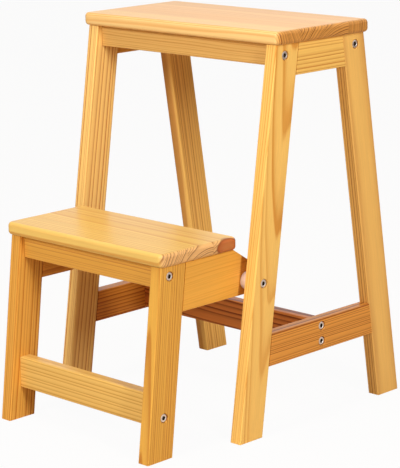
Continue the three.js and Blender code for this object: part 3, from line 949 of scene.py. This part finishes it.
# node: along, through, dive in degrees, pith in mm, early, late, ring, wander, seed
TIMBER = {
    "front_leg_right": (FRONT_LEG, RIGHT, (0.0, 1.6), (-61, 10), "#F4C66C", "#D28C36", 3.0, 9, 6.3),
    "rear_leg_right": (REAR_LEG, RIGHT, (0.0, 0.0), (-200.8, 0), "#F4C46C", "#A04C14", 3.3, 2, 2.1),
    "front_leg_left": (FRONT_LEG, RIGHT, (0.2, 0.3), (-62, -44), "#FAD07C", "#BC6824", 3.4, 4, 3.7),
    "rear_leg_left": (REAR_LEG, RIGHT, (0.0, 0.3), (-8, -88), "#F8C66A", "#BE7432", 4.6, 4, 4.9),
    "step_leg_right": (STEP_LEG, RIGHT, (1.1, 0.0), (-6, -80), "#E4AE4C", "#B46A24", 3.0, 6, 5.2),
    "step_leg_left": (STEP_LEG, RIGHT, (0.2, 0.3), (-50, -52), "#E8AC4C", "#B46418", 3.3, 5, 6.8),
    "side_apron_right": (BACK, RIGHT, (0.4, 0.5), (-20, -75), "#F6C86A", "#C8823A", 4.9, 9, 7.4),
    "side_apron_left": (BACK, RIGHT, (0.3, 0.6), (22, 70), "#E8AC4C", "#C07430", 4.4, 6, 8.1),
    "side_stretcher_right": (BACK, RIGHT, (0.4, 0.3), (-16, -85), "#E29C44", "#80320A", 3.2, 8, 9.6),
    "side_stretcher_left": (BACK, RIGHT, (0.6, 0.5), (14, 80), "#DC9038", "#983E08", 4.8, 11, 10.3),
    "front_apron": (RIGHT, BACK, (0.3, 0.6), (12, -60), "#E3B568", "#C68C44", 3.0, 10, 11.9),
    "rear_apron": (RIGHT, BACK, (0.3, 0.5), (20, 60), "#E8AC54", "#C0742E", 3.8, 5, 12.2),
    "cross_rail": (RIGHT, BACK, (0.9, 0.4), (26, -52), "#D6843E", "#6A2606", 6.0, 15, 13.4),
    "step_apron": (RIGHT, BACK, (0.3, 0.3), (14, 70), "#E6AC4A", "#C8863A", 3.6, 6, 14.8),
    "step_stretcher": (RIGHT, BACK, (0.2, 0.3), (6, 74), "#F2C66C", "#CA923E", 4.6, 3, 15.1),
    "step_rail_right": (BACK, RIGHT, (2.0, 0.3), (-30, 80), "#ECAE4A", "#DE9C3E", 3.4, 12, 16.6),
    "step_rail_left": (BACK, RIGHT, (0.5, 0.4), (16, 100), "#E8A444", "#BC6C28", 3.4, 5, 17.2),
}
PINES = {node: pine(node, board_axes(along, through, dive), *rest)
         for node, (along, through, dive, *rest) in TIMBER.items()}
print("pine boards:", len(PINES))

# %% [markdown]
# ## Strips and heartwood
#
# The seat and the tread are each glued up from strips about 43 mm wide, every one from another tree.
# On the end of the board each strip shows its own arcs. A ramp with constant steps works as a table:
# across the board it gives each strip its own pith, and a second one gives each its tone. One strip may
# hold heartwood, the old core of the tree, which is redder than the rest and has a clear border. It is
# an ellipsoid in the wood, lighter in its middle than at its rim.

# %% Helpers for strips
def stepped(tree, across, values):
    """A ramp that gives each strip its own value."""
    ramp = add_node(tree, "ValToRGB", {"Fac": across})
    ramp.color_ramp.interpolation = "CONSTANT"
    stops = ramp.color_ramp.elements
    for i, value in enumerate(values):
        stop = stops[i] if i < 2 else stops.new(i / len(values))
        stop.position, stop.color = i / len(values), (*value, 1.0)
    return ramp


def heartwood(tree, color, point, centre, radii):
    """Red heartwood round a centre in mm, which is given down, back and along the board."""
    away = add_node(tree, "VectorMath", {0: point, 1: centre}, operation="SUBTRACT")
    scaled = add_node(tree, "VectorMath", {0: away, 1: radii}, operation="DIVIDE")
    span = add_node(tree, "VectorMath", {0: scaled}, operation="LENGTH").outputs["Value"]
    red = add_node(tree, "MapRange", {"Value": span, "From Min": 1.0, "From Max": 0.88})
    tints = add_node(tree, "ValToRGB", {"Fac": span})
    stops = tints.color_ramp.elements
    stops[0].position, stops[0].color = 0.3, linear("#BC7440")
    stops[1].position, stops[1].color = 0.75, linear("#B26434")
    stops.new(0.92).color = linear("#8A4620")
    return add_node(tree, "Mix", {"Factor": red, "A": color, "B": tints}, data_type="RGBA").outputs["Result"]


# %% [markdown]
# ## Seat and tread from glued strips
#
# A point is measured from the middle of its own strip and then from that strip's pith, so the arcs
# start afresh at each glue line, which is a hair of darker brown. End grain drinks the lacquer, so the
# last millimetres of the length get tones of their own, with more contrast.

# %% Glued boards, with their sizes in mm
PITH_RANGE = 400.0
TREE_LENGTH = 9000.0
STRIP_SHIFT = 1
END_GRAIN = (6, 1.5)
GLUE_LINE, GLUE_DARK = 0.35, 0.55
GRAIN_DIVE = math.radians(0.3)


def glued_pine(node, strips, late, ends, ring, wander, seed, heart=None):
    """Pine in strips. A strip is its pith in mm, down and back from the strip's middle, and its tone."""
    material, tree = new_material(f"lacquered_pine_{node}")
    low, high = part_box(node)
    # The strips start a millimetre before the board, so that no glue line falls on its front edge
    start = Vector((0, low.y - STRIP_SHIFT * MM, (low.z + high.z) / 2))
    width = (high.y - low.y) / MM + 2 * STRIP_SHIFT
    strip_width = width / len(strips)
    point = board_point(tree, board_axes(RIGHT, -UP), start)
    parts = add_node(tree, "SeparateXYZ", {"Vector": point}).outputs

    # Each strip's pith and tone, by how far across the board it is
    share = add_node(tree, "Math", {0: parts["Y"], 1: width}, operation="DIVIDE")
    pith = stepped(tree, share, [(0.5 + down / PITH_RANGE, 0.5 + back / PITH_RANGE, i / len(strips))
                                 for i, (down, back, tone) in enumerate(strips)])
    tone = stepped(tree, share, [linear(tone)[:3] for down, back, tone in strips])
    shift = add_node(tree, "VectorMath", {0: pith, 1: (0.5, 0.5, 0.0)}, operation="SUBTRACT")
    moved = add_node(tree, "VectorMath", {0: shift, 1: (PITH_RANGE, PITH_RANGE, TREE_LENGTH)},
                     operation="MULTIPLY")

    # The point from the middle of its strip, and from the strip's pith
    number = add_node(tree, "Math", {0: parts["Y"], 1: strip_width}, operation="DIVIDE")
    whole = add_node(tree, "Math", {0: number}, operation="FLOOR")
    strip_middle = add_node(tree, "Math", {0: whole, 1: strip_width, 2: strip_width / 2},
                            operation="MULTIPLY_ADD")
    base = add_node(tree, "CombineXYZ", {"Y": strip_middle})
    local = add_node(tree, "VectorMath", {0: point, 1: base}, operation="SUBTRACT")
    from_pith = add_node(tree, "VectorMath", {0: local, 1: moved}, operation="SUBTRACT")
    tilted = add_node(tree, "Mapping", {"Vector": from_pith, "Rotation": (0, GRAIN_DIVE, 0)})

    # End grain has its own early and late tones
    reach = add_node(tree, "Math", {0: parts["Z"]}, operation="ABSOLUTE")
    half = (high.x - low.x) / 2 / MM
    near_end = add_node(tree, "MapRange", {"Value": reach, "From Min": half - END_GRAIN[0],
                        "From Max": half - END_GRAIN[1]})
    early, late = (add_node(tree, "Mix", {"Factor": near_end, "A": plain, "B": linear(end)}, data_type="RGBA")
                   for plain, end in ((tone, ends[0]), (linear(late), ends[1])))
    figure = add_node(tree, "Group", {"Point": tilted, "Early": early.outputs["Result"],
                      "Late": late.outputs["Result"], "Ring": ring, "Wander": wander, "Seed": seed},
                      node_tree=FIGURE)

    # The glue line at the start of each strip
    edge = add_node(tree, "Math", {0: number}, operation="FRACT")
    seam = add_node(tree, "MapRange", {"Value": edge, "From Max": GLUE_LINE / strip_width,
                    "To Min": GLUE_DARK, "To Max": 0.0})
    color = add_node(tree, "Mix", {"Factor": seam, "A": figure.outputs["Color"],
                     "B": linear("#A0602C")}, data_type="RGBA").outputs["Result"]
    if heart:
        color = heartwood(tree, color, point, *heart)
    lacquered(tree, color, figure.outputs["Height"])
    return material


PINES["seat_board"] = glued_pine("seat_board", [
    (-20, 60, "#F6CE88"), (40, 56, "#F2C07C"), (70, 26, "#F4C484"), (-30, 46, "#F2C282")],
    "#E2A050", ("#D6984C", "#642C0C"), 3.0, 5, 21.3)
PINES["tread_board"] = glued_pine("tread_board", [
    (36, 60, "#EBC56C"), (32, 17, "#EAC36A"), (50, 20, "#E9C16E")],
    "#CE8E3C", ("#E8B676", "#64280A"), 3.5, 4, 24.7, heart=((1, 113, 144), (10.5, 21, 30)))
print("pines:", len(PINES))

# %% [markdown]
# ## Nylon
#
# The spacers are moulded nylon: off-white, slightly pink next to the wood, and softly glossy. A little
# light enters it and comes out again, which takes the hardness off its shadows. A mould leaves a faint
# grain and slow clouds in the colour.

# %% Moulded nylon
nylon, tree = new_material("moulded_nylon")
room = add_node(tree, "TexCoord").outputs["Object"]
cloud = add_node(tree, "TexNoise", {"Vector": room, "Scale": 160.0, "Detail": 3.0})
tint = add_node(tree, "Mix", {"Factor": cloud, "A": linear("#F4E2D8"),
                "B": linear("#FAEDE4")}, data_type="RGBA")
grain = add_node(tree, "TexNoise", {"Vector": room, "Scale": 1800.0})
skin = add_node(tree, "Bump", {"Height": grain, "Strength": 0.2, "Distance": 0.03 * MM})
shader = add_node(tree, "BsdfPrincipled", {"Base Color": tint.outputs["Result"], "Roughness": 0.45,
                  "IOR": 1.53, "Subsurface Weight": 0.1, "Subsurface Radius": (0.004, 0.003, 0.002),
                  "Normal": skin})
add_node(tree, "OutputMaterial", {"Surface": shader})
print("nylon:", len(tree.nodes), "nodes")

# %% [markdown]
# ## Finishing
#
# Each board gets its own pine. The bolts already have their two metals, the spacers are nylon, and all
# the other fasteners are plated. Every piece then takes the place of its part in the frame, so the
# step's pieces swing with the step.

# %% Finish every piece
for node, board in boards.items():
    board.data.materials.clear()
    board.data.materials.append(PINES[node])
    finish_piece(board, node)
for node, piece in FASTENERS.items():
    if not piece.data.materials:
        piece.data.materials.append(nylon if "spacer" in node else nickel)
    finish_piece(piece, node)
print("finished pieces:", len(boards) + len(FASTENERS))

# %% [markdown]
# ## Floor and backdrop
#
# The picture is a cut-out look: a white ground with hardly any shadow. The floor is a plain white
# sheet. To the camera most of its white is its own, so that it reaches the background's white, and the
# rest still takes the stool's faint shadow. The world is white to the camera and in reflections, and
# lights the stool with a low warm glow, which keeps the inner faces amber rather than grey.

# %% Floor and world
FLOOR_SIZE = 60
FLOOR_OWN_LIGHT = 0.955
bpy.ops.object.select_all(action="DESELECT")
bpy.ops.mesh.primitive_plane_add(size=FLOOR_SIZE)
floor = bpy.context.object
floor.name = "studio_floor"
white, tree = new_material("white_studio_sheet")
path = add_node(tree, "LightPath").outputs
own = add_node(tree, "Math", {0: path["Is Camera Ray"], 1: FLOOR_OWN_LIGHT}, operation="MULTIPLY")
paint = add_node(tree, "BsdfDiffuse", {"Color": linear("#CDC2B4")})
glow = add_node(tree, "Emission", {"Color": linear("#FFFFFF"), "Strength": 1.0})
sheet = add_node(tree, "MixShader", {0: own, 1: paint, 2: glow})
add_node(tree, "OutputMaterial", {"Surface": sheet})
floor.data.materials.append(white)

world = bpy.data.worlds.new("studio")
bpy.context.scene.world = world
world.use_nodes = True
tree = world.node_tree
tree.nodes.clear()
path = add_node(tree, "LightPath").outputs
seen = path["Is Camera Ray"]
for ray in ("Is Glossy Ray", "Is Transmission Ray"):
    seen = add_node(tree, "Math", {0: seen, 1: path[ray]}, operation="MAXIMUM").outputs[0]
glow = add_node(tree, "Background", {"Color": linear("#FFBE86"), "Strength": 0.17})
backdrop = add_node(tree, "Background", {"Color": linear("#FFFFFF"), "Strength": 1.0})
sky = add_node(tree, "MixShader", {0: seen, 1: glow, 2: backdrop})
add_node(tree, "OutputWorld", {"Surface": sky})
print("floor and world ready")

# %% [markdown]
# ## Lamps
#
# Three soft boxes light the stool. A tall one in front makes the front faces bright, a tall narrow one
# to the right keeps the right faces amber, and a square one overhead lights the seat and the tread. A
# soft box is an area light: its size sets how soft the shadows are, and its power and distance how
# strong it is.

# %% Soft boxes
AIM = Vector((0, 0, 0.25))


def strip_light(name, turn, rise, distance, power, wide, tall):
    """An upright soft box that faces the stool. The turn is in degrees from +X towards -Y."""
    turn, rise = math.radians(turn), math.radians(rise)
    place = AIM + distance * Vector((math.cos(turn) * math.cos(rise), -math.sin(turn) * math.cos(rise),
                                     math.sin(rise)))
    bpy.ops.object.light_add(type="AREA", location=place)
    lamp = bpy.context.object
    lamp.name = name
    lamp.data.shape = "RECTANGLE"
    lamp.data.energy, lamp.data.size, lamp.data.size_y = power, wide, tall
    lamp.rotation_euler = (AIM - place).to_track_quat("-Z", "Y").to_euler()


strip_light("front_soft_box", turn=86.5, rise=31, distance=2.6, power=38, wide=0.4, tall=0.85)
strip_light("right_soft_box", turn=15.7, rise=27, distance=2.3, power=31, wide=0.22, tall=1.1)
strip_light("overhead_soft_box", turn=60, rise=84, distance=2.3, power=20, wide=1.2, tall=1.2)
bpy.context.scene.view_settings.view_transform = "Standard"
print("studio ready")
